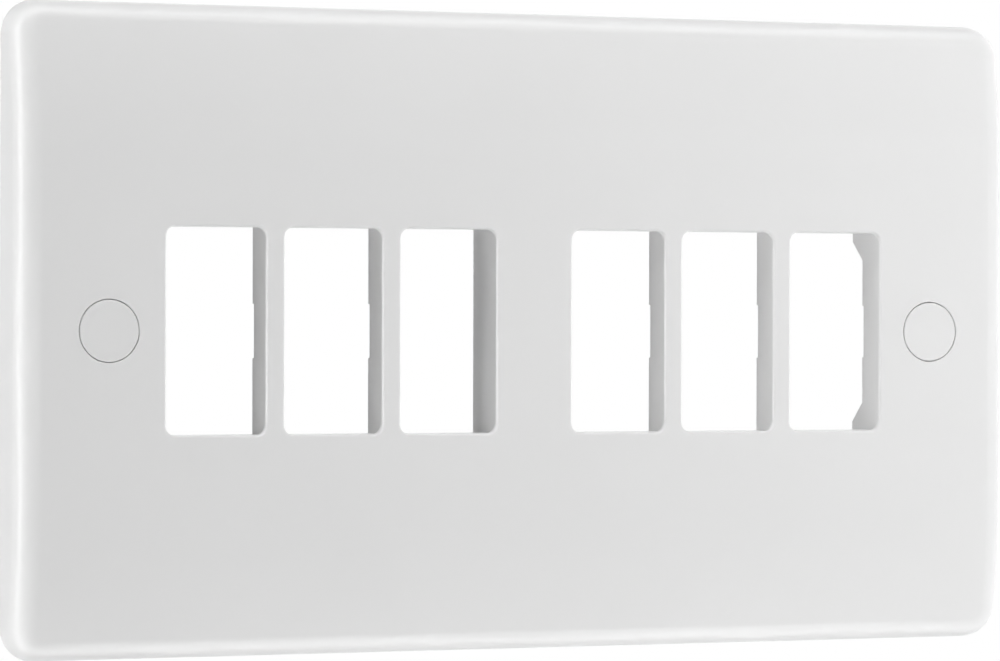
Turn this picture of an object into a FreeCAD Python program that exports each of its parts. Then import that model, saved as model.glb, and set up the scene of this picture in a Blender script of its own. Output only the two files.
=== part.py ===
import FreeCAD, Part
import math
import os
import Sketcher

# Grid switch front plate: a white moulding with six apertures and two push-in screw caps.
# Millimetres. +X is to the right seen from the front, +Z is up and the front faces -Y.
# The origin is the middle of the plate on the wall plane, between the two fixing holes.

SIZES = (
    # outline and front
    ("plate_height", 86.0),        # overall height at the wall
    ("plate_depth", 6.5),          # wall plane to the flat of the face
    ("end_margin", 12.7),          # fixing centre to the end of the plate
    ("side_draft", 6.0),           # slope of the four sides, in degrees
    ("corner_radius", 4.6),        # corners of the outline, seen from the front
    ("edge_round", 3.4),           # rounding between the face and the sides
    ("sweep_height", 20.0),        # height of the swept-back margin above and below the flat
    ("sweep_radius", 80.0),        # radius of that margin
    # hollow back
    ("skin", 2.2),                 # thickness of the front wall
    ("rim_wall", 2.2),             # thickness of the rim at the wall plane
    ("hollow_corner", 2.4),        # corners of the hollow
    # apertures
    ("aperture_width", 13.9),
    ("aperture_height", 27.3),
    ("aperture_corner", 1.3),      # corners of an aperture's lip
    ("aperture_edge", 0.35),       # rounding of an aperture's front edge
    ("lip_depth", 0.8),            # face to the square corners behind the lip
    ("web", 2.6),                  # bar between two neighbouring apertures
    ("centre_bar", 11.1),          # bar between the two groups of apertures
    ("end_bar", 7.85),             # outermost aperture edge to the fixing centre
    # collars and skirts behind the apertures
    ("collar_depth", 5.2),         # face to the rear edge of the aperture walls
    ("collar_wall", 1.4),
    ("skirt_depth", 8.5),          # face to the rear edge of the skirt
    ("skirt_setback", 0.2),        # skirt's inner face behind the aperture wall
    ("leg_tip", 1.05),             # aperture corner to the notch, at the rear edge
    ("leg_root", 4.05),            # the same at the foot of the notch
    ("relief_height", 7.2),        # pivot relief at the middle of each aperture side
    ("relief_depth", 0.2),
    ("relief_start", 0.8),         # face to the front end of the relief
    # fixing screws and caps
    ("screw_hole", 4.0),           # clearance hole for an M3.5 screw
    ("boss_wall", 1.4),            # wall of the boss around the cap recess
    ("boss_web", 1.2),             # thickness of the web that braces the boss
    ("cap_diameter", 8.1),
    ("cap_clearance", 0.1),        # radial gap between cap and recess
    ("cap_depth", 3.2),            # height of the cap, and depth of its recess
    ("cap_face", 1.0),             # thickness of the cap's disc
    ("cap_skirt", 0.6),            # wall of the cap's ring
    ("cap_edge", 0.15),            # rounding of the cap's rim and of the recess
)
APERTURES_IN_GROUP = 3

# Worked-out sizes, written in the sheet's own names.
PITCH = "(sizes.aperture_width + sizes.web)"
GROUP_START = "(sizes.centre_bar / 2)"
GROUP_WIDTH = f"({APERTURES_IN_GROUP} * {PITCH} - sizes.web)"
GROUP_END = f"({GROUP_START} + {GROUP_WIDTH})"
FIXING_REACH = f"({GROUP_END} + sizes.end_bar)"
HALF_WIDTH = f"({FIXING_REACH} + sizes.end_margin)"
HALF_HEIGHT = "(sizes.plate_height / 2)"
HOLLOW_HALF_WIDTH = f"({HALF_WIDTH} - sizes.rim_wall)"
HOLLOW_HALF_HEIGHT = f"({HALF_HEIGHT} - sizes.rim_wall)"
FLAT_HALF_HEIGHT = f"({HALF_HEIGHT} - sizes.sweep_height)"
FACE = "(-sizes.plate_depth)"
SWEEP_CENTRE = ("(sizes.sweep_radius - sizes.plate_depth)", FLAT_HALF_HEIGHT)
SWEEP_DROP = "(sizes.sweep_radius - sqrt(sizes.sweep_radius ^ 2 - sizes.sweep_height ^ 2))"
COLLAR_HEIGHT = "(sizes.aperture_height + 2 * sizes.collar_wall)"
COLLAR_PLANE = "(sizes.plate_depth - sizes.collar_depth)"
SKIRT_REACH = "(sizes.skirt_depth - sizes.collar_depth)"
RECESS_RADIUS = "(sizes.cap_diameter / 2 + sizes.cap_clearance)"
BOSS_RADIUS = f"({RECESS_RADIUS} + sizes.boss_wall)"
SKIN_MIDDLE = "(sizes.plate_depth - sizes.skin / 2)"
BRACE_FRONT = "(sizes.plate_depth - 3 * sizes.skin / 4)"
BRACE_END = f"({HOLLOW_HALF_WIDTH} + sizes.rim_wall / 4)"
# The face rounding stays inside the outline's corners and the lowest part of the sides.
CORNER_SHARE = 0.8
SIDE_SHARE = 0.9
SIDE_HEIGHT = f"(sizes.plate_depth - {SWEEP_DROP})"
ROUND_LIMIT = f"min({CORNER_SHARE} * sizes.corner_radius; {SIDE_SHARE} * {SIDE_HEIGHT})"
EDGE_ROUND = f"min(sizes.edge_round; {ROUND_LIMIT})"

NEAR = 1e-4                        # tolerance for finding edges
FRONT_NORMAL = -0.8                # a face whose normal has a lower Y than this looks to the front

doc = FreeCAD.newDocument("grid_switch_plate")
sheet = doc.addObject("Spreadsheet::Sheet", "sizes")
for row, (alias, number) in enumerate(SIZES, start=1):
    sheet.set(f"A{row}", alias)
    sheet.set(f"B{row}", str(number))
    sheet.setAlias(f"B{row}", alias)
doc.recompute()


def value(expression):
    """Number that an expression in the sheet's names gives."""
    return float(sheet.evalExpression(expression))


def origin_plane(body, role):
    """One of the body's own origin planes."""
    return next(item for item in body.Origin.OriginFeatures if item.Role == role)


def new_sketch(body, name, role, offset=None):
    """Empty sketch on an origin plane, moved along the plane's normal by an expression."""
    sketch = body.newObject("Sketcher::SketchObject", name)
    sketch.AttachmentSupport = (origin_plane(body, role), [""])
    sketch.MapMode = "FlatFace"
    if offset:
        sketch.setExpression("AttachmentOffset.Base.z", offset)
    return sketch


def tie(sketch, geometry, point, across, up):
    """Ties a sketch point to the sketch's origin by two expressions, or one where the other is None."""
    for kind, axis, expression in (("DistanceX", -2, across), ("DistanceY", -1, up)):
        if expression == "0":
            sketch.addConstraint(Sketcher.Constraint("PointOnObject", geometry, point, axis))
        elif expression:
            rule = Sketcher.Constraint(kind, -1, 1, geometry, point, value(expression))
            sketch.setExpression(f"Constraints[{sketch.addConstraint(rule)}]", expression)


def join(sketch, first, first_end, second, second_end):
    """Makes two ends of sketch curves meet."""
    sketch.addConstraint(Sketcher.Constraint("Coincident", first, first_end, second, second_end))


def line(sketch, start, end):
    """Straight sketch line between two points, each a pair of expressions, with no ties yet."""
    ends = [FreeCAD.Vector(value(across), value(up), 0) for across, up in (start, end)]
    return sketch.addGeometry(Part.LineSegment(*ends))


def polygon(sketch, corners):
    """Closed straight-sided outline through corners given as pairs of expressions."""
    sides = [line(sketch, *ends) for ends in zip(corners, corners[1:] + corners[:1])]
    for side, following in zip(sides, sides[1:] + sides[:1]):
        join(sketch, side, 2, following, 1)
    for side, (across, up) in zip(sides, corners):
        tie(sketch, side, 1, across, up)


def rectangle(sketch, left, right, low, high):
    """Rectangle between four expressions."""
    polygon(sketch, ((left, low), (right, low), (right, high), (left, high)))


def circle(sketch, across, radius):
    """Circle centred on the sketch's horizontal axis."""
    centre = FreeCAD.Vector(value(across), 0, 0)
    ring = sketch.addGeometry(Part.Circle(centre, FreeCAD.Vector(0, 0, 1), value(radius)))
    tie(sketch, ring, 3, across, "0")
    rule = sketch.addConstraint(Sketcher.Constraint("Radius", ring, value(radius)))
    sketch.setExpression(f"Constraints[{rule}]", radius)


def arc(sketch, centre, radius, start, end):
    """Arc about a tied centre, between two angles in radians, with a tied radius."""
    middle = FreeCAD.Vector(value(centre[0]), value(centre[1]), 0)
    whole = Part.Circle(middle, FreeCAD.Vector(0, 0, 1), value(radius))
    curve = sketch.addGeometry(Part.ArcOfCircle(whole, start, end))
    tie(sketch, curve, 3, *centre)
    rule = sketch.addConstraint(Sketcher.Constraint("Radius", curve, value(radius)))
    sketch.setExpression(f"Constraints[{rule}]", radius)
    return curve


def extrude(body, kind, name, sketch, length=None, reverse=False, both_ways=False):
    """Pad or Pocket of a sketch, through everything where no length is given."""
    feature = body.newObject(f"PartDesign::{kind}", name)
    feature.Profile = sketch
    if length:
        feature.setExpression("Length", length)
    else:
        feature.Type = "ThroughAll"
    feature.Reversed = reverse
    feature.SideType = "Symmetric" if both_ways else "One side"
    doc.recompute()
    return feature


def mirror(body, feature, role):
    """The same feature again on the other side of an origin plane."""
    copy = body.newObject("PartDesign::Mirrored", feature.Name + "_mirrored")
    copy.Originals = [feature]
    copy.MirrorPlane = (origin_plane(body, role), [""])
    body.Tip = copy
    doc.recompute()
    return copy


def repeat_in_apertures(body, feature):
    """Repeats a feature of the innermost right-hand aperture in all the apertures."""
    row = body.newObject("PartDesign::LinearPattern", feature.Name + "_row")
    axis = next(item for item in body.Origin.OriginFeatures if item.Role == "X_Axis")
    row.Direction = (axis, [""])
    row.setExpression("Length", f"{APERTURES_IN_GROUP - 1} * {PITCH}")
    row.Occurrences = APERTURES_IN_GROUP
    other_group = body.newObject("PartDesign::Mirrored", feature.Name + "_group")
    other_group.MirrorPlane = (origin_plane(body, "YZ_Plane"), [""])
    copies = body.newObject("PartDesign::MultiTransform", feature.Name + "_copies")
    copies.Originals = [feature]
    copies.Transformations = [row, other_group]
    body.Tip = copies
    doc.recompute()
    return copies


def round_edges(body, name, radius, chosen):
    """Fillet of the edges of the body's tip that pass a test."""
    base = body.Tip
    names = [f"Edge{n}" for n, edge in enumerate(base.Shape.Edges, start=1) if chosen(edge)]
    fillet = body.newObject("PartDesign::Fillet", name)
    fillet.Base = (base, names)
    fillet.setExpression("Radius", radius)
    body.Tip = fillet
    doc.recompute()
    return fillet


def runs_along_y(edge):
    """True for a straight edge that is parallel to Y."""
    if not isinstance(edge.Curve, Part.Line):
        return False
    return abs(abs(edge.Curve.Direction.y) - 1) < NEAR


def lies_on_face(edge):
    """True for an edge in the flat of the front face."""
    box = edge.BoundBox
    return abs(box.YMin - value(FACE)) < NEAR and box.YLength < NEAR


def front_outline(shape):
    """Test for the edges where the front meets the sides of a plate with no holes yet."""
    def faces_front(face):
        u_low, u_high, v_low, v_high = face.ParameterRange
        return face.normalAt((u_low + u_high) / 2, (v_low + v_high) / 2).y < FRONT_NORMAL
    front = [edge for face in shape.Faces if faces_front(face) for edge in face.Edges]
    return lambda edge: sum(edge.isSame(other) for other in front) == 1


def build_slab(body):
    """Solid plate with sloping sides, a swept-back top and bottom and a rounded front."""
    outline = new_sketch(body, "outline", "XZ_Plane")
    rectangle(outline, f"-{HALF_WIDTH}", HALF_WIDTH, f"-{HALF_HEIGHT}", HALF_HEIGHT)
    slab = extrude(body, "Pad", "slab", outline, "sizes.plate_depth")
    slab.setExpression("TaperAngle", "-sizes.side_draft")
    doc.recompute()
    depth = value("sizes.plate_depth")
    round_edges(body, "outline_corners", "sizes.corner_radius",
                lambda edge: abs(edge.BoundBox.YLength - depth) < NEAR)

    profile = new_sketch(body, "sweep_profile", "YZ_Plane")
    lean = math.asin(value("sizes.sweep_height / sizes.sweep_radius"))
    swept = arc(profile, SWEEP_CENTRE, "sizes.sweep_radius", math.pi - lean, math.pi)
    rise = line(profile, (FACE, FLAT_HALF_HEIGHT), (FACE, HALF_HEIGHT))
    top = line(profile, (FACE, HALF_HEIGHT), (f"{FACE} + {SWEEP_DROP}", HALF_HEIGHT))
    join(profile, swept, 2, rise, 1)
    join(profile, rise, 2, top, 1)
    join(profile, top, 2, swept, 1)
    tie(profile, rise, 1, None, FLAT_HALF_HEIGHT)
    tie(profile, rise, 2, FACE, HALF_HEIGHT)
    tie(profile, top, 2, None, HALF_HEIGHT)
    sweep = extrude(body, "Pocket", "sweep", profile, f"2 * {HALF_WIDTH}", both_ways=True)
    mirror(body, sweep, "XY_Plane")
    round_edges(body, "face_rounding", EDGE_ROUND, front_outline(body.Tip.Shape))


def build_hollow(body):
    """Hollow in the back that leaves a front wall of even thickness and a rim."""
    profile = new_sketch(body, "hollow_profile", "YZ_Plane")
    inside = f"({FACE} + sizes.skin)"
    radius = "(sizes.sweep_radius - sizes.skin)"
    lean = math.asin(value(f"(sizes.sweep_height - sizes.rim_wall) / {radius}"))
    edge = f"({SWEEP_CENTRE[0]} - sqrt({radius} ^ 2 - (sizes.sweep_height - sizes.rim_wall) ^ 2))"
    below = (SWEEP_CENTRE[0], f"-{FLAT_HALF_HEIGHT}")
    upper = arc(profile, SWEEP_CENTRE, radius, math.pi - lean, math.pi)
    flat = line(profile, (inside, FLAT_HALF_HEIGHT), (inside, f"-{FLAT_HALF_HEIGHT}"))
    lower = arc(profile, below, radius, math.pi, math.pi + lean)
    bottom = line(profile, (edge, f"-{HOLLOW_HALF_HEIGHT}"), ("0", f"-{HOLLOW_HALF_HEIGHT}"))
    mouth = line(profile, ("0", f"-{HOLLOW_HALF_HEIGHT}"), ("0", HOLLOW_HALF_HEIGHT))
    top = line(profile, ("0", HOLLOW_HALF_HEIGHT), (edge, HOLLOW_HALF_HEIGHT))
    join(profile, upper, 2, flat, 1)
    join(profile, flat, 2, lower, 1)
    join(profile, lower, 2, bottom, 1)
    join(profile, bottom, 2, mouth, 1)
    join(profile, mouth, 2, top, 1)
    join(profile, top, 2, upper, 1)
    tie(profile, flat, 1, None, FLAT_HALF_HEIGHT)
    tie(profile, flat, 2, None, f"-{FLAT_HALF_HEIGHT}")
    tie(profile, bottom, 1, None, f"-{HOLLOW_HALF_HEIGHT}")
    tie(profile, mouth, 1, "0", f"-{HOLLOW_HALF_HEIGHT}")
    tie(profile, mouth, 2, "0", HOLLOW_HALF_HEIGHT)
    tie(profile, top, 2, None, HOLLOW_HALF_HEIGHT)
    extrude(body, "Pocket", "hollow", profile, f"2 * {HOLLOW_HALF_WIDTH}", both_ways=True)
    round_edges(body, "hollow_corners", "sizes.hollow_corner", runs_along_y)


def build_collars(body):
    """Walls around each group of apertures, and the deeper skirt behind them with its notches."""
    left = f"({GROUP_START} - sizes.collar_wall)"
    right = f"({GROUP_END} + sizes.collar_wall)"
    high = f"({COLLAR_HEIGHT} / 2)"
    block = new_sketch(body, "collar_outline", "XZ_Plane", COLLAR_PLANE)
    rectangle(block, left, right, f"-{high}", high)
    collar = extrude(body, "Pad", "collar", block, f"{SKIN_MIDDLE} - {COLLAR_PLANE}")
    mirror(body, collar, "YZ_Plane")

    ring = new_sketch(body, "skirt_outline", "XZ_Plane", COLLAR_PLANE)
    rectangle(ring, left, right, f"-{high}", high)
    inner_high = "(sizes.aperture_height / 2 + sizes.skirt_setback)"
    rectangle(ring, f"({GROUP_START} - sizes.skirt_setback)", f"({GROUP_END} + sizes.skirt_setback)",
              f"-{inner_high}", inner_high)
    skirt = extrude(body, "Pad", "skirt", ring, SKIRT_REACH, reverse=True)
    mirror(body, skirt, "YZ_Plane")

    foot = f"-{COLLAR_PLANE}"
    rear = f"({foot} + {SKIRT_REACH})"
    end_notch = new_sketch(body, "end_notch_outline", "YZ_Plane", GROUP_END)
    foot_high = "(sizes.aperture_height / 2 - sizes.leg_root)"
    rear_high = "(sizes.aperture_height / 2 - sizes.leg_tip)"
    polygon(end_notch, ((foot, f"-{foot_high}"), (rear, f"-{rear_high}"),
                        (rear, rear_high), (foot, foot_high)))
    cut = extrude(body, "Pocket", "end_notch", end_notch, "sizes.collar_wall", reverse=True)
    mirror(body, cut, "YZ_Plane")

    long_notch = new_sketch(body, "long_notch_outline", "XY_Plane")
    polygon(long_notch, ((f"({GROUP_START} + sizes.leg_root)", foot),
                         (f"({GROUP_END} - sizes.leg_root)", foot),
                         (f"({GROUP_END} - sizes.leg_tip)", rear),
                         (f"({GROUP_START} + sizes.leg_tip)", rear)))
    cut = extrude(body, "Pocket", "long_notch", long_notch, COLLAR_HEIGHT, both_ways=True)
    mirror(body, cut, "YZ_Plane")


def build_apertures(body):
    """Six apertures, round-cornered in the face and square behind it, with pivot reliefs in their sides."""
    right = f"({GROUP_START} + sizes.aperture_width)"
    high = "(sizes.aperture_height / 2)"
    window = new_sketch(body, "window_outline", "XZ_Plane", "sizes.plate_depth")
    rectangle(window, GROUP_START, right, f"-{high}", high)
    lip = extrude(body, "Pocket", "window", window, "sizes.lip_depth")
    repeat_in_apertures(body, lip)
    corner_height = value(high)
    lip_depth = value("sizes.lip_depth")

    def is_lip_corner(edge):
        box = edge.BoundBox
        if abs(box.YLength - lip_depth) > NEAR:
            return False
        return runs_along_y(edge) and abs(abs(box.ZMin) - corner_height) < NEAR
    round_edges(body, "lip_corners", "sizes.aperture_corner", is_lip_corner)

    passage = new_sketch(body, "passage_outline", "XZ_Plane", COLLAR_PLANE)
    rectangle(passage, GROUP_START, right, f"-{high}", high)
    inner = extrude(body, "Pocket", "passage", passage, "sizes.collar_depth - sizes.lip_depth", reverse=True)
    repeat_in_apertures(body, inner)

    slot = new_sketch(body, "relief_outline", "XZ_Plane", "sizes.plate_depth - sizes.relief_start")
    rectangle(slot, f"({GROUP_START} - sizes.relief_depth)", f"({right} + sizes.relief_depth)",
              "-sizes.relief_height / 2", "sizes.relief_height / 2")
    relief = extrude(body, "Pocket", "relief", slot, "sizes.collar_depth - sizes.relief_start")
    repeat_in_apertures(body, relief)
    group_end = value(GROUP_END)

    def is_aperture_front(edge):
        box = edge.BoundBox
        return lies_on_face(edge) and max(abs(box.XMin), abs(box.XMax)) < group_end + NEAR \
            and max(abs(box.ZMin), abs(box.ZMax)) < corner_height + NEAR
    round_edges(body, "aperture_edges", "sizes.aperture_edge", is_aperture_front)


def build_fixings(body):
    """Braced boss, cap recess and screw hole at each end."""
    low = "-sizes.boss_web / 2"
    high = "sizes.boss_web / 2"
    strip = new_sketch(body, "web_outline", "XZ_Plane", COLLAR_PLANE)
    rectangle(strip, f"({GROUP_END} + sizes.skirt_setback)", BRACE_END, low, high)
    brace = extrude(body, "Pad", "boss_brace", strip, f"{BRACE_FRONT} - {COLLAR_PLANE}")
    mirror(body, brace, "YZ_Plane")

    post = new_sketch(body, "boss_outline", "XZ_Plane")
    circle(post, FIXING_REACH, BOSS_RADIUS)
    boss = extrude(body, "Pad", "boss", post, SKIN_MIDDLE)
    mirror(body, boss, "YZ_Plane")

    seat = new_sketch(body, "recess_outline", "XZ_Plane", "sizes.plate_depth")
    circle(seat, FIXING_REACH, RECESS_RADIUS)
    recess = extrude(body, "Pocket", "cap_recess", seat, "sizes.cap_depth")
    mirror(body, recess, "YZ_Plane")

    bore = new_sketch(body, "hole_outline", "XZ_Plane")
    circle(bore, FIXING_REACH, "sizes.screw_hole / 2")
    hole = extrude(body, "Pocket", "fixing_hole", bore, "sizes.plate_depth", reverse=True)
    mirror(body, hole, "YZ_Plane")
    recess_radius = value(RECESS_RADIUS)

    def is_recess_rim(edge):
        return lies_on_face(edge) and isinstance(edge.Curve, Part.Circle) \
            and abs(edge.Curve.Radius - recess_radius) < NEAR
    round_edges(body, "recess_rims", "sizes.cap_edge", is_recess_rim)


def build_cap(label, side):
    """Push-in cap: a disc with a ring that stands on the floor of its recess."""
    body = doc.addObject("PartDesign::Body", label)
    section = new_sketch(body, label + "_section", "YZ_Plane")
    floor = f"({FACE} + sizes.cap_depth)"
    under = f"({FACE} + sizes.cap_face)"
    outer = "(sizes.cap_diameter / 2)"
    inner = "(sizes.cap_diameter / 2 - sizes.cap_skirt)"
    polygon(section, ((FACE, "0"), (under, "0"), (under, inner),
                      (floor, inner), (floor, outer), (FACE, outer)))
    cap = body.newObject("PartDesign::Revolution", label + "_body")
    cap.Profile = section
    cap.ReferenceAxis = (section, ["H_Axis"])
    doc.recompute()
    round_edges(body, label + "_rim", "sizes.cap_edge", lies_on_face)
    body.setExpression("Placement.Base.x", f"{side} * {FIXING_REACH}")
    doc.recompute()
    return body


def build_plate():
    """The whole moulded plate."""
    body = doc.addObject("PartDesign::Body", "front_plate")
    build_slab(body)
    build_hollow(body)
    build_collars(body)
    build_apertures(body)
    build_fixings(body)
    return body


pieces = [build_plate(), build_cap("left_screw_cap", -1), build_cap("right_screw_cap", 1)]
doc.recompute()

for item in doc.Objects:
    if "Invalid" in item.State or "Error" in item.State:
        raise RuntimeError(f"{item.Label} failed: {item.State}")
for piece in pieces:
    if piece.Shape.isNull() or not piece.Shape.isValid() or len(piece.Shape.Solids) != 1:
        raise RuntimeError(f"{piece.Label} is not one sound solid")

os.makedirs("parts", exist_ok=True)
for piece in pieces:
    piece.Shape.exportStep(f"parts/{piece.Label}.step")
    print(piece.Label, round(piece.Shape.Volume, 1))
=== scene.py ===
"""Looks of a white moulded grid switch plate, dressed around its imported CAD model.

Metres throughout, in the CAD frame: +X to the right seen from the front, +Z up, the face looks along -Y
and the wall plane is Y = 0.
"""
import logging
import math
from dataclasses import dataclass
from enum import Enum

import bmesh
import bpy
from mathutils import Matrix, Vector


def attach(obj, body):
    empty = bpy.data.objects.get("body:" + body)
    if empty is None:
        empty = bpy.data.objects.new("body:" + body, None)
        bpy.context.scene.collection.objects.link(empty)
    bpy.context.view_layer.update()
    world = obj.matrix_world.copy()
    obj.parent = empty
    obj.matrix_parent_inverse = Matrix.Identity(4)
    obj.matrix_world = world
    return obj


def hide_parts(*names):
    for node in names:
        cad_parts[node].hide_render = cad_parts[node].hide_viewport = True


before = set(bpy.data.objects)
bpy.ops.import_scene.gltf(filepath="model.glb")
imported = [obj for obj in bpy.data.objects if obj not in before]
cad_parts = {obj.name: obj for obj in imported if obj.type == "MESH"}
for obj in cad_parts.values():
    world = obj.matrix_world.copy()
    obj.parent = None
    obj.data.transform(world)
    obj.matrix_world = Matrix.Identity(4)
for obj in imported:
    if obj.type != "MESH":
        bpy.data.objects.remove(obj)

LOG = logging.getLogger("grid_switch_plate")
BODY = "root"
MM = 0.001


class ToolSide(Enum):
    """The two halves of the mould and the edge where they shut off, which leave different surfaces."""

    CAVITY = "cavity"
    CORE = "core"
    SHUT_OFF = "shut_off"


class End(Enum):
    """The two ends of the plate, each with its fixing screw and cap."""

    LEFT = "left"
    RIGHT = "right"


class Reach(Enum):
    """What a studio lamp adds to: the even light on a surface, or its reflections."""

    MATT = "matt"
    GLOSS = "gloss"


def link(tree: bpy.types.NodeTree, source: bpy.types.NodeSocket, target: bpy.types.NodeSocket) -> None:
    """Joins two sockets of a node tree."""
    tree.links.new(source, target)


def add_node(tree: bpy.types.NodeTree, kind: str, **settings: object) -> bpy.types.Node:
    """Adds a node to a tree.

    Args:
        tree: The tree that gets the node.
        kind: Blender's name of the node type.
        settings: Node properties to set.

    Returns:
        The new node.
    """
    node = tree.nodes.new(kind)
    for name, value in settings.items():
        setattr(node, name, value)
    return node


class MouldedSkin:
    """Shader group for the small unevenness that a mould leaves in white plastic."""

    NAME = "moulded_skin"
    FLOW_DETAIL = 3.0
    PEEL_DETAIL = 1.0
    GRAIN_DETAIL = 2.0
    NOISE_MEAN = 0.5

    def group(self) -> bpy.types.NodeTree:
        """Finds the group, or builds it the first time.

        Returns:
            The shader node group with its named sockets.
        """
        made = bpy.data.node_groups.get(self.NAME)
        return made if made else self._build()

    def _build(self) -> bpy.types.NodeTree:
        """Builds the group.

        Returns:
            The new shader node group.
        """
        tree = bpy.data.node_groups.new(self.NAME, "ShaderNodeTree")
        for name, kind in (("Tone", "NodeSocketColor"), ("Mottle Scale", "NodeSocketFloat"),
                           ("Mottle", "NodeSocketFloat"), ("Gloss Low", "NodeSocketFloat"),
                           ("Gloss High", "NodeSocketFloat"), ("Peel Scale", "NodeSocketFloat"),
                           ("Grain Scale", "NodeSocketFloat"), ("Grain Share", "NodeSocketFloat")):
            tree.interface.new_socket(name, in_out="INPUT", socket_type=kind)
        for name, kind in (("Tone", "NodeSocketColor"), ("Roughness", "NodeSocketFloat"),
                           ("Height", "NodeSocketFloat")):
            tree.interface.new_socket(name, in_out="OUTPUT", socket_type=kind)
        inputs = add_node(tree, "NodeGroupInput").outputs
        outputs = add_node(tree, "NodeGroupOutput").inputs
        place = add_node(tree, "ShaderNodeTexCoord").outputs["Object"]

        flow = self._noise(tree, place, inputs["Mottle Scale"], self.FLOW_DETAIL)
        shade = add_node(tree, "ShaderNodeMath", operation="MULTIPLY_ADD")
        shade.inputs[2].default_value = 1.0
        centred = add_node(tree, "ShaderNodeMath", operation="SUBTRACT")
        centred.inputs[1].default_value = self.NOISE_MEAN
        link(tree, flow, centred.inputs[0])
        link(tree, centred.outputs[0], shade.inputs[0])
        link(tree, inputs["Mottle"], shade.inputs[1])
        tone = add_node(tree, "ShaderNodeVectorMath", operation="SCALE")
        link(tree, inputs["Tone"], tone.inputs[0])
        link(tree, shade.outputs[0], tone.inputs["Scale"])
        link(tree, tone.outputs[0], outputs["Tone"])

        gloss = add_node(tree, "ShaderNodeMapRange")
        link(tree, flow, gloss.inputs["Value"])
        link(tree, inputs["Gloss Low"], gloss.inputs["To Min"])
        link(tree, inputs["Gloss High"], gloss.inputs["To Max"])
        link(tree, gloss.outputs["Result"], outputs["Roughness"])

        peel = self._noise(tree, place, inputs["Peel Scale"], self.PEEL_DETAIL)
        grain = self._noise(tree, place, inputs["Grain Scale"], self.GRAIN_DETAIL)
        height = add_node(tree, "ShaderNodeMix", data_type="FLOAT")
        link(tree, inputs["Grain Share"], height.inputs["Factor"])
        link(tree, peel, height.inputs["A"])
        link(tree, grain, height.inputs["B"])
        link(tree, height.outputs["Result"], outputs["Height"])
        return tree

    def _noise(self, tree: bpy.types.NodeTree, place: bpy.types.NodeSocket, scale: bpy.types.NodeSocket,
               detail: float) -> bpy.types.NodeSocket:
        """Adds a noise texture that reads the piece's own coordinates.

        Args:
            tree: The group that gets the texture.
            place: Socket with the coordinates.
            scale: Socket with the number of features in a metre.
            detail: Number of finer layers.

        Returns:
            The noise's value, about a half on average.
        """
        noise = add_node(tree, "ShaderNodeTexNoise")
        noise.inputs["Detail"].default_value = detail
        link(tree, place, noise.inputs["Vector"])
        link(tree, scale, noise.inputs["Scale"])
        return noise.outputs[0]


@dataclass(frozen=True)
class MouldedFinish:
    """White plastic as one part of the mould leaves it."""

    name: str
    tone: tuple[float, float, float]
    gloss: tuple[float, float]
    mottle: float = 0.03
    mottle_scale: float = 45.0
    peel_scale: float = 420.0
    grain_scale: float = 5200.0
    grain_share: float = 0.1
    relief: float = 0.010 * MM
    ior: float = 1.5
    specular: float = 0.5

    def material(self) -> bpy.types.Material:
        """Finds the material, or builds it the first time.

        Returns:
            The node material of this finish.
        """
        made = bpy.data.materials.get(self.name)
        return made if made else self._build()

    def _build(self) -> bpy.types.Material:
        """Builds the material.

        Returns:
            The new material.
        """
        material = bpy.data.materials.new(self.name)
        material.use_nodes = True
        material.diffuse_color = (*self.tone, 1.0)
        tree = material.node_tree
        shader = tree.nodes["Principled BSDF"]
        shader.inputs["IOR"].default_value = self.ior
        shader.inputs["Specular IOR Level"].default_value = self.specular
        skin = add_node(tree, "ShaderNodeGroup", node_tree=MouldedSkin().group())
        skin.inputs["Tone"].default_value = (*self.tone, 1.0)
        skin.inputs["Mottle"].default_value = self.mottle
        skin.inputs["Mottle Scale"].default_value = self.mottle_scale
        skin.inputs["Gloss Low"].default_value = self.gloss[0]
        skin.inputs["Gloss High"].default_value = self.gloss[1]
        skin.inputs["Peel Scale"].default_value = self.peel_scale
        skin.inputs["Grain Scale"].default_value = self.grain_scale
        skin.inputs["Grain Share"].default_value = self.grain_share
        bump = add_node(tree, "ShaderNodeBump")
        bump.inputs["Strength"].default_value = 1.0
        bump.inputs["Distance"].default_value = self.relief
        link(tree, skin.outputs["Tone"], shader.inputs["Base Color"])
        link(tree, skin.outputs["Roughness"], shader.inputs["Roughness"])
        link(tree, skin.outputs["Height"], bump.inputs["Height"])
        link(tree, bump.outputs["Normal"], shader.inputs["Normal"])
        return material


WHITE = (0.80, 0.80, 0.80)
POLISHED = (0.28, 0.32)
MATT = (0.42, 0.52)
SPARK_ERODED = {"grain_share": 0.75, "relief": 0.03 * MM}
PLATE_FINISH = {
    ToolSide.CAVITY: MouldedFinish("plate_polished_white", WHITE, POLISHED),
    ToolSide.CORE: MouldedFinish("plate_matt_white", WHITE, MATT, **SPARK_ERODED),
    ToolSide.SHUT_OFF: MouldedFinish("plate_dull_edge", WHITE, MATT, specular=0.1),
}
CAP_FINISH = {
    ToolSide.CAVITY: MouldedFinish("cap_polished_white", WHITE, POLISHED, mottle_scale=90.0),
    ToolSide.CORE: MouldedFinish("cap_matt_white", WHITE, MATT, **SPARK_ERODED),
}


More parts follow.
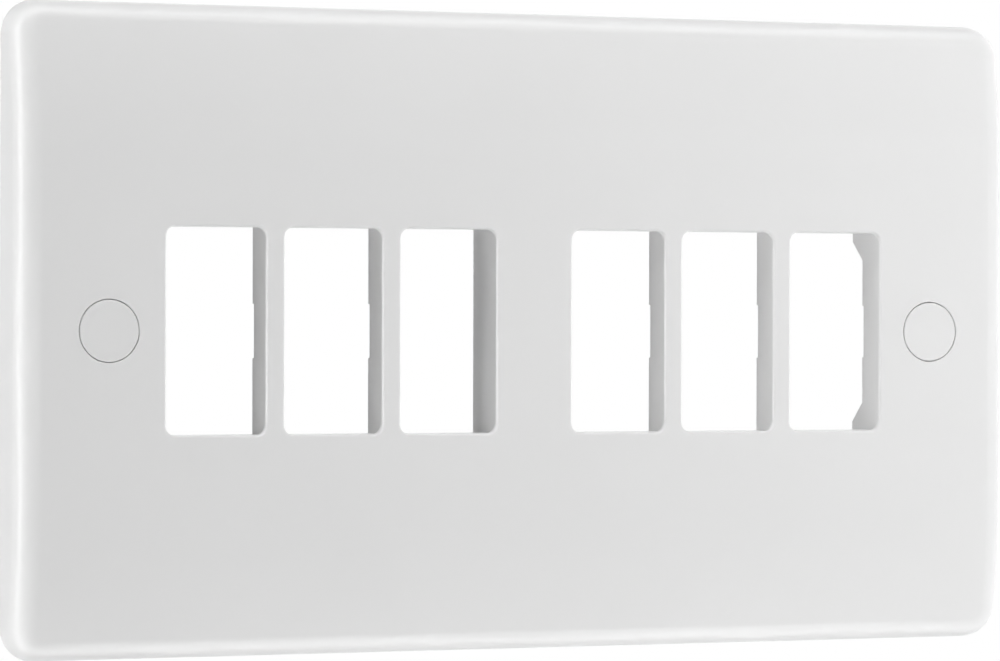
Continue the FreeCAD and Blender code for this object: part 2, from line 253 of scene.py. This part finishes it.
@dataclass(kw_only=True)
class Moulding:
    """A smooth copy of a CAD node, which stands for the node in the pictures."""

    node: str
    slot: str
    finish: dict[ToolSide, MouldedFinish]
    weld: float = 1e-6
    crease_deg: float = 28.0
    flat_deg: float = 0.02

    def tool_side(self, face: bmesh.types.BMFace) -> ToolSide:
        """Part of the mould that forms a face."""
        return ToolSide.CAVITY

    def flat_normals(self) -> list[Vector]:
        """Directions that the flat sides of the moulding look in."""
        return [sign * Vector(axis) for axis in ((1, 0, 0), (0, 1, 0), (0, 0, 1)) for sign in (-1, 1)]

    def curved_normal(self, place: Vector) -> Vector | None:
        """Exact normal at a point of a large curved face, or None elsewhere."""
        return None

    def build(self) -> bpy.types.Object:
        """Makes the welded copy with smooth normals.

        Returns:
            The finished piece.
        """
        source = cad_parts[self.node]
        shape = bmesh.new()
        shape.from_mesh(source.data)
        bmesh.ops.remove_doubles(shape, verts=shape.verts, dist=self.weld)
        bmesh.ops.dissolve_degenerate(shape, edges=shape.edges, dist=self.weld)
        shape.normal_update()
        crease = math.radians(self.crease_deg)
        for edge in shape.edges:
            edge.smooth = len(edge.link_faces) == 2 and edge.calc_face_angle() < crease
        for face in shape.faces:
            face.smooth = True
            face.material_index = list(self.finish).index(self.tool_side(face))
        mesh = bpy.data.meshes.new(self.node + "_moulding")
        normals = self._corner_normals(shape)
        shape.to_mesh(mesh)
        shape.free()
        mesh.normals_split_custom_set(normals)
        piece = bpy.data.objects.new(mesh.name, mesh)
        bpy.context.collection.objects.link(piece)
        return piece

    def _corner_normals(self, shape: bmesh.types.BMesh) -> list[Vector]:
        """Works out a normal for each corner of each face.

        Args:
            shape: The welded mesh with its creases marked.

        Returns:
            Normals in the order of the faces and their corners.
        """
        least = math.cos(math.radians(self.flat_deg))
        flats = self.flat_normals()
        shape.faces.index_update()
        flat_of = {face.index: next((flat for flat in flats if face.normal.dot(flat) > least), None)
                   for face in shape.faces}
        found: dict[tuple[int, int], Vector] = {}
        shape.verts.index_update()
        for vert in shape.verts:
            for fan in self._fans(vert):
                flat = next((flat_of[loop.face.index] for loop in fan if flat_of[loop.face.index]), None)
                normal = flat or self.curved_normal(vert.co) or self._rounded_normal(fan)
                for loop in fan:
                    found[vert.index, loop.face.index] = normal
        return [found[loop.vert.index, face.index] for face in shape.faces for loop in face.loops]

    def _fans(self, vert: bmesh.types.BMVert) -> list[list[bmesh.types.BMLoop]]:
        """Sorts the face corners at a vertex into groups that no crease divides.

        Args:
            vert: The vertex.

        Returns:
            One list of corners for each group.
        """
        left = {loop.face: loop for loop in vert.link_loops}
        fans = []
        while left:
            _, first = left.popitem()
            fan = [first]
            for loop in fan:
                for edge in (loop.edge, loop.link_loop_prev.edge):
                    if edge.smooth:
                        fan.extend(left.pop(face) for face in edge.link_faces if face in left)
            fans.append(fan)
        return fans

    def _rounded_normal(self, fan: list[bmesh.types.BMLoop]) -> Vector:
        """Normal from the facets around a vertex, in which near neighbours count most.

        Args:
            fan: Face corners at the vertex.

        Returns:
            The unit normal, which is exact where the facets touch a ball.
        """
        total = Vector()
        for loop in fan:
            ahead = loop.link_loop_next.vert.co - loop.vert.co
            behind = loop.link_loop_prev.vert.co - loop.vert.co
            total += ahead.cross(behind) / (ahead.length_squared * behind.length_squared)
        return total.normalized()

    def dress(self, piece: bpy.types.Object) -> None:
        """Gives the piece its finishes and puts it in the node's place.

        Args:
            piece: What build() made.
        """
        for finish in self.finish.values():
            piece.data.materials.append(finish.material())
        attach(piece, BODY)
        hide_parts(self.node)


@dataclass(kw_only=True)
class FrontPlate(Moulding):
    """The plate: rim, face, apertures with their collars, and screw bosses in one moulding."""

    node: str = "front_plate"
    slot: str = "plate_plastic"
    hollow_half_width: float = 70.8 * MM
    hollow_half_height: float = 40.8 * MM
    front: float = -6.5 * MM
    inner_face: float = -4.3 * MM
    lean: float = 0.01
    aperture_half_height: float = 13.65 * MM
    aperture_half_width: float = 6.95 * MM
    aperture_edge: float = 0.35 * MM
    aperture_centres: tuple[float, ...] = (12.5 * MM, 29.0 * MM, 45.5 * MM)
    margin: float = 0.25 * MM
    side_draft_deg: float = 6.0
    sweep_radius: float = 80.0 * MM
    sweep_axis: tuple[float, float] = (73.5 * MM, 23.0 * MM)

    def flat_normals(self) -> list[Vector]:
        """Directions that the flat and the sloping sides of the plate look in.

        Returns:
            The upright and level directions, then those of the four sides with draft.
        """
        draft = math.radians(self.side_draft_deg)
        out, front = math.cos(draft), -math.sin(draft)
        sides = ((out, front, 0), (-out, front, 0), (0, front, out), (0, front, -out))
        return super().flat_normals() + [Vector(side) for side in sides]

    def curved_normal(self, place: Vector) -> Vector | None:
        """Exact normal of the swept-back margins of the face.

        Args:
            place: A point on the plate.

        Returns:
            The normal, or None where the point isn't on a swept margin.
        """
        back, up = self.sweep_axis
        spoke = Vector((0.0, place.y - back, abs(place.z) - up))
        if spoke.z < 0 or abs(spoke.length - self.sweep_radius) > self.weld:
            return None
        return Vector((0.0, spoke.y, math.copysign(spoke.z, place.z))).normalized()

    def tool_side(self, face: bmesh.types.BMFace) -> ToolSide:
        """Part of the mould that forms a face of the plate.

        Args:
            face: A face of the welded mesh.

        Returns:
            CORE for the hollow back, SHUT_OFF for the front edges of the apertures, CAVITY for the rest.
        """
        centre = face.calc_center_median()
        across, up = abs(centre.x), abs(centre.z)
        nearest = min(abs(across - middle) for middle in self.aperture_centres)
        outside = max(nearest - self.aperture_half_width, up - self.aperture_half_height)
        if outside < self.aperture_edge and self.weld < centre.y - self.front < self.aperture_edge:
            return ToolSide.SHUT_OFF
        looks_back = face.normal.y > -self.lean and centre.y > self.inner_face - self.margin
        if looks_back and outside > self.margin and across < self.hollow_half_width + self.margin \
                and up < self.hollow_half_height + self.margin:
            return ToolSide.CORE
        return ToolSide.CAVITY


@dataclass(kw_only=True)
class ScrewCap(Moulding):
    """A push-in cap over one of the fixing screws."""

    slot: str = "cap_plastic"
    ring_top: float = -5.5 * MM

    @classmethod
    def at(cls, end: End) -> "ScrewCap":
        """The cap at one end of the plate."""
        return cls(node=f"{end.value}_screw_cap", finish=CAP_FINISH)

    def tool_side(self, face: bmesh.types.BMFace) -> ToolSide:
        """CORE for the underside of the cap, CAVITY for its face."""
        under = face.calc_center_median().y > self.ring_top - self.weld
        return ToolSide.CORE if under else ToolSide.CAVITY


@dataclass
class EjectorMarks:
    """Round witness marks of the ejector pins on the back of the plate's front wall."""

    name: str = "ejector_marks"
    columns: int = 5
    rows: int = 2
    span: float = 112.0 * MM
    drop: float = 38.0 * MM
    radius: float = 1.9 * MM
    proud: float = 0.12 * MM
    sunk: float = 0.05 * MM
    chamfer: float = 0.92
    sides: int = 32
    wall: float = -4.3 * MM
    turn_deg: float = -90.0

    def tree(self) -> bpy.types.NodeTree:
        """Builds the Geometry Nodes tree that sets out the marks.

        Returns:
            The tree, with named inputs for its sizes.
        """
        tree = bpy.data.node_groups.new(self.name, "GeometryNodeTree")
        tree.interface.new_socket("Geometry", in_out="OUTPUT", socket_type="NodeSocketGeometry")
        for name, kind in (("Columns", "NodeSocketInt"), ("Rows", "NodeSocketInt"),
                           ("Span", "NodeSocketFloat"), ("Drop", "NodeSocketFloat"),
                           ("Radius", "NodeSocketFloat"), ("Height", "NodeSocketFloat"),
                           ("Chamfer", "NodeSocketFloat"), ("Sides", "NodeSocketInt"),
                           ("Wall", "NodeSocketVector"), ("Finish", "NodeSocketMaterial")):
            tree.interface.new_socket(name, in_out="INPUT", socket_type=kind)
        inputs = add_node(tree, "NodeGroupInput").outputs
        result = add_node(tree, "NodeGroupOutput").inputs

        grid = add_node(tree, "GeometryNodeMeshGrid")
        for name, socket in (("Span", "Size X"), ("Drop", "Size Y"), ("Columns", "Vertices X"),
                             ("Rows", "Vertices Y")):
            link(tree, inputs[name], grid.inputs[socket])
        disc = add_node(tree, "GeometryNodeMeshCircle", fill_type="NGON")
        link(tree, inputs["Sides"], disc.inputs["Vertices"])
        link(tree, inputs["Radius"], disc.inputs["Radius"])
        raised = add_node(tree, "GeometryNodeExtrudeMesh")
        link(tree, disc.outputs["Mesh"], raised.inputs["Mesh"])
        link(tree, inputs["Height"], raised.inputs["Offset Scale"])
        eased = add_node(tree, "GeometryNodeScaleElements")
        link(tree, raised.outputs["Mesh"], eased.inputs["Geometry"])
        link(tree, raised.outputs["Top"], eased.inputs["Selection"])
        link(tree, inputs["Chamfer"], eased.inputs["Scale"])

        placed = add_node(tree, "GeometryNodeInstanceOnPoints")
        link(tree, grid.outputs["Mesh"], placed.inputs["Points"])
        link(tree, eased.outputs["Geometry"], placed.inputs["Instance"])
        turned = add_node(tree, "GeometryNodeTransform")
        turned.inputs["Rotation"].default_value = (math.radians(self.turn_deg), 0.0, 0.0)
        link(tree, placed.outputs["Instances"], turned.inputs["Geometry"])
        link(tree, inputs["Wall"], turned.inputs["Translation"])
        real = add_node(tree, "GeometryNodeRealizeInstances")
        link(tree, turned.outputs["Geometry"], real.inputs["Geometry"])
        dressed = add_node(tree, "GeometryNodeSetMaterial")
        link(tree, real.outputs["Geometry"], dressed.inputs["Geometry"])
        link(tree, inputs["Finish"], dressed.inputs["Material"])
        link(tree, dressed.outputs["Geometry"], result["Geometry"])
        return tree

    def build(self) -> bpy.types.Object:
        """Runs the tree and keeps its result as a plain mesh.

        Returns:
            The marks as one piece.
        """
        tree = self.tree()
        sizes = {"Columns": self.columns, "Rows": self.rows, "Span": self.span, "Drop": self.drop,
                 "Radius": self.radius, "Height": self.proud + self.sunk, "Chamfer": self.chamfer,
                 "Sides": self.sides, "Wall": (0.0, self.wall - self.sunk, 0.0),
                 "Finish": PLATE_FINISH[ToolSide.CORE].material()}
        piece = bpy.data.objects.new(self.name, bpy.data.meshes.new(self.name))
        bpy.context.collection.objects.link(piece)
        modifier = piece.modifiers.new(self.name, "NODES")
        modifier.node_group = tree
        for item in tree.interface.items_tree:
            if item.in_out == "INPUT":
                modifier[item.identifier] = sizes[item.name]
        depsgraph = bpy.context.evaluated_depsgraph_get()
        plain = bpy.data.meshes.new_from_object(piece.evaluated_get(depsgraph))
        piece.modifiers.clear()
        piece.data = plain
        return piece

    def dress(self, piece: bpy.types.Object) -> None:
        """Lets the marks ride on the plate's body."""
        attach(piece, BODY)


@dataclass(frozen=True)
class Softbox:
    """A soft rectangular lamp that faces a point."""

    name: str
    place: tuple[float, float, float]
    size: tuple[float, float]
    watts: float
    aim: tuple[float, float, float]
    reach: Reach

    def build(self) -> bpy.types.Object:
        """Adds the lamp to the scene.

        Returns:
            The lamp object, which the camera doesn't see.
        """
        data = bpy.data.lights.new(self.name, "AREA")
        data.shape = "RECTANGLE"
        data.size, data.size_y = self.size
        data.energy = self.watts
        lamp = bpy.data.objects.new(self.name, data)
        lamp.location = self.place
        away = Vector(self.aim) - Vector(self.place)
        lamp.rotation_euler = away.to_track_quat("-Z", "Y").to_euler()
        lamp.visible_camera = False
        lamp.visible_diffuse = self.reach is Reach.MATT
        lamp.visible_glossy = self.reach is Reach.GLOSS
        bpy.context.collection.objects.link(lamp)
        return lamp


@dataclass
class Studio:
    """White studio: floor, background and soft lamps."""

    floor_level: float = -120.0 * MM
    floor_half: float = 1.2
    floor_tone: float = 0.8
    floor_lift: float = 0.3
    fade_start: float = 0.20
    fade_end: float = 0.42
    ambient: float = 0.03
    mirrored_share: float = 0.22
    backdrop_faces: tuple[float, float, float] = (-0.6, -0.8, 0.0)
    backdrop_edge: tuple[float, float] = (0.65, 0.85)
    lamps: tuple[Softbox, ...] = (
        Softbox("key", (0.40, -0.45, 0.20), (0.40, 0.40), 1.78, (0.03, 0.0, 0.0), Reach.MATT),
        Softbox("right_side", (0.28, -0.12, 0.05), (0.20, 0.40), 0.455, (0.0, -0.10, 0.0), Reach.MATT),
        Softbox("left_side", (-0.60, -0.022, 0.0), (0.03, 0.50), 2.30, (0.0, -0.022, 0.0), Reach.MATT),
        Softbox("left_front", (-0.60, -0.20, 0.0), (0.16, 0.50), 0.74, (0.0, -0.20, 0.0), Reach.MATT),
        Softbox("top_front", (-0.08, -0.11, 0.32), (0.25, 0.14), 0.50, (-0.03, 0.0, 0.0), Reach.MATT),
        Softbox("top_rear", (0.0, 0.12, 0.50), (1.00, 0.20), 0.55, (0.0, 0.12, 0.0), Reach.MATT),
        Softbox("table_front", (0.0, -0.09, -0.118), (0.50, 0.16), 0.08, (0.0, -0.09, 1.0), Reach.MATT),
        Softbox("table_under", (0.0, -0.005, -0.118), (0.145, 0.012), 0.012, (0.0, -0.005, 1.0),
                Reach.MATT),
        Softbox("rear_right", (0.30, 0.30, 0.10), (0.20, 0.40), 0.34, (0.05, 0.0, 0.0), Reach.MATT),
        Softbox("rear_bounce", (0.02, 0.06, 0.0), (0.04, 0.06), 0.021, (0.05, 0.0, 0.0), Reach.MATT),
        Softbox("left_panel", (-0.60, -0.065, 0.166), (0.21, 0.568), 1.93, (0.0, -0.065, 0.166),
                Reach.GLOSS),
        Softbox("table_left", (-0.33, -0.08, -0.118), (0.46, 0.20), 0.58, (-0.33, -0.08, 1.0),
                Reach.GLOSS),
        Softbox("top_panel", (-0.25, -0.07, 0.50), (1.20, 0.26), 2.35, (-0.25, -0.07, 0.0), Reach.GLOSS),
        Softbox("table_panel", (-0.16, -0.03, -0.118), (0.60, 0.06), 0.42, (-0.16, -0.03, 1.0),
                Reach.GLOSS),
    )

    def build(self) -> None:
        """Builds the floor, the background and the lamps."""
        self._floor()
        self._background()
        for lamp in self.lamps:
            lamp.build()

    def _seen_directly(self, tree: bpy.types.NodeTree) -> bpy.types.NodeSocket:
        """Adds a mask for the rays that see white paper all round instead of the lamps' light on it.

        Args:
            tree: The material or world tree that gets the mask.

        Returns:
            A value of 1 on rays from the camera or through a clear piece, up to 1 on reflected ones and
            0 on others.
        """
        path = add_node(tree, "ShaderNodeLightPath")
        mirrored = add_node(tree, "ShaderNodeMath", operation="MULTIPLY")
        link(tree, path.outputs["Is Glossy Ray"], mirrored.inputs[0])
        link(tree, self._mirrored_white(tree), mirrored.inputs[1])
        seen = mirrored.outputs[0]
        for name in ("Is Camera Ray", "Is Transmission Ray"):
            either = add_node(tree, "ShaderNodeMath", operation="MAXIMUM")
            link(tree, seen, either.inputs[0])
            link(tree, path.outputs[name], either.inputs[1])
            seen = either.outputs[0]
        return seen

    def _mirrored_white(self, tree: bpy.types.NodeTree) -> bpy.types.NodeSocket:
        """Adds the share of white that a reflected ray meets, by the side that it goes to.

        Args:
            tree: The material or world tree that gets the share.

        Returns:
            A value of 1 on the backdrop behind the plate, and less all round it.
        """
        ray = add_node(tree, "ShaderNodeNewGeometry").outputs["Incoming"]
        facing = add_node(tree, "ShaderNodeVectorMath", operation="DOT_PRODUCT")
        facing.inputs[1].default_value = self.backdrop_faces
        link(tree, ray, facing.inputs[0])
        share = add_node(tree, "ShaderNodeMapRange", interpolation_type="SMOOTHSTEP")
        link(tree, facing.outputs["Value"], share.inputs["Value"])
        for name, edge in zip(("From Min", "From Max"), self.backdrop_edge):
            share.inputs[name].default_value = edge
        share.inputs["To Min"].default_value = self.mirrored_share
        return share.outputs["Result"]

    def _floor(self) -> None:
        """Adds a pale floor that looks white and keeps the plate's shadow."""
        half, level = self.floor_half, self.floor_level
        mesh = bpy.data.meshes.new("studio_floor")
        corners = [(-half, -half, level), (half, -half, level),
                   (half, half, level), (-half, half, level)]
        mesh.from_pydata(corners, [], [(0, 1, 2, 3)])
        floor = bpy.data.objects.new("studio_floor", mesh)
        bpy.context.collection.objects.link(floor)
        material = bpy.data.materials.new("studio_paper")
        material.use_nodes = True
        tree = material.node_tree
        tree.nodes.remove(tree.nodes["Principled BSDF"])
        paper = add_node(tree, "ShaderNodeBsdfDiffuse")
        paper.inputs["Color"].default_value = (self.floor_tone, self.floor_tone, self.floor_tone, 1.0)
        seen = self._seen_directly(tree)
        lift = add_node(tree, "ShaderNodeEmission")
        strength = add_node(tree, "ShaderNodeMath", operation="MULTIPLY")
        strength.inputs[1].default_value = self.floor_lift
        link(tree, seen, strength.inputs[0])
        link(tree, strength.outputs[0], lift.inputs["Strength"])
        near = add_node(tree, "ShaderNodeAddShader")
        link(tree, paper.outputs[0], near.inputs[0])
        link(tree, lift.outputs[0], near.inputs[1])

        white = add_node(tree, "ShaderNodeEmission")
        place = add_node(tree, "ShaderNodeTexCoord")
        reach = add_node(tree, "ShaderNodeVectorMath", operation="LENGTH")
        link(tree, place.outputs["Object"], reach.inputs[0])
        fade = add_node(tree, "ShaderNodeMapRange", interpolation_type="SMOOTHSTEP")
        fade.inputs["From Min"].default_value = self.fade_start
        fade.inputs["From Max"].default_value = self.fade_end
        link(tree, reach.outputs["Value"], fade.inputs["Value"])
        far = add_node(tree, "ShaderNodeMath", operation="MULTIPLY")
        link(tree, seen, far.inputs[0])
        link(tree, fade.outputs["Result"], far.inputs[1])
        paper_to_white = add_node(tree, "ShaderNodeMixShader")
        link(tree, far.outputs[0], paper_to_white.inputs["Fac"])
        link(tree, near.outputs[0], paper_to_white.inputs[1])
        link(tree, white.outputs[0], paper_to_white.inputs[2])
        link(tree, paper_to_white.outputs[0], tree.nodes["Material Output"].inputs["Surface"])
        mesh.materials.append(material)

    def _background(self) -> None:
        """Makes the world white to the eye and a soft fill to the plate."""
        world = bpy.data.worlds.new("white_studio")
        world.use_nodes = True
        tree = world.node_tree
        tree.nodes.clear()
        fill = add_node(tree, "ShaderNodeBackground")
        fill.inputs["Strength"].default_value = self.ambient
        white = add_node(tree, "ShaderNodeBackground")
        for shader in (fill, white):
            shader.inputs["Color"].default_value = (1.0, 1.0, 1.0, 1.0)
        mix = add_node(tree, "ShaderNodeMixShader")
        link(tree, self._seen_directly(tree), mix.inputs["Fac"])
        link(tree, fill.outputs[0], mix.inputs[1])
        link(tree, white.outputs[0], mix.inputs[2])
        output = add_node(tree, "ShaderNodeOutputWorld")
        link(tree, mix.outputs[0], output.inputs["Surface"])
        bpy.context.scene.world = world


@dataclass(frozen=True)
class ProductCamera:
    """Long-lens camera a little to the left of the plate, at its mid height."""

    place: tuple[float, float, float] = (-267.05 * MM, -601.78 * MM, 2.29 * MM)
    turn_deg: tuple[float, float, float] = (89.808, -0.154, -23.750)
    focal_px: float = 4857.0
    image_width_px: float = 1000.0
    sensor_mm: float = 36.0

    def build(self) -> bpy.types.Object:
        """Adds the camera and makes it the scene's own.

        Returns:
            The camera object.
        """
        data = bpy.data.cameras.new("product_camera")
        data.sensor_fit = "HORIZONTAL"
        data.sensor_width = self.sensor_mm
        data.lens = self.focal_px / self.image_width_px * self.sensor_mm
        camera = bpy.data.objects.new("product_camera", data)
        camera.location = self.place
        camera.rotation_euler = [math.radians(angle) for angle in self.turn_deg]
        bpy.context.collection.objects.link(camera)
        bpy.context.scene.camera = camera
        return camera


def main() -> None:
    """Builds the pieces in order and logs each one's number of faces, then builds the studio and the
    camera.
    """
    logging.basicConfig(level=logging.INFO, format="%(message)s")
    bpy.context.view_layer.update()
    parts = [FrontPlate(finish=PLATE_FINISH), *(ScrewCap.at(end) for end in End), EjectorMarks()]
    for part in parts:
        piece = part.build()
        part.dress(piece)
        LOG.info("%s: %d faces", piece.name, len(piece.data.polygons))
    Studio().build()
    ProductCamera().build()
    bpy.context.scene.view_settings.view_transform = "Standard"


if __name__ == "__main__":
    main()
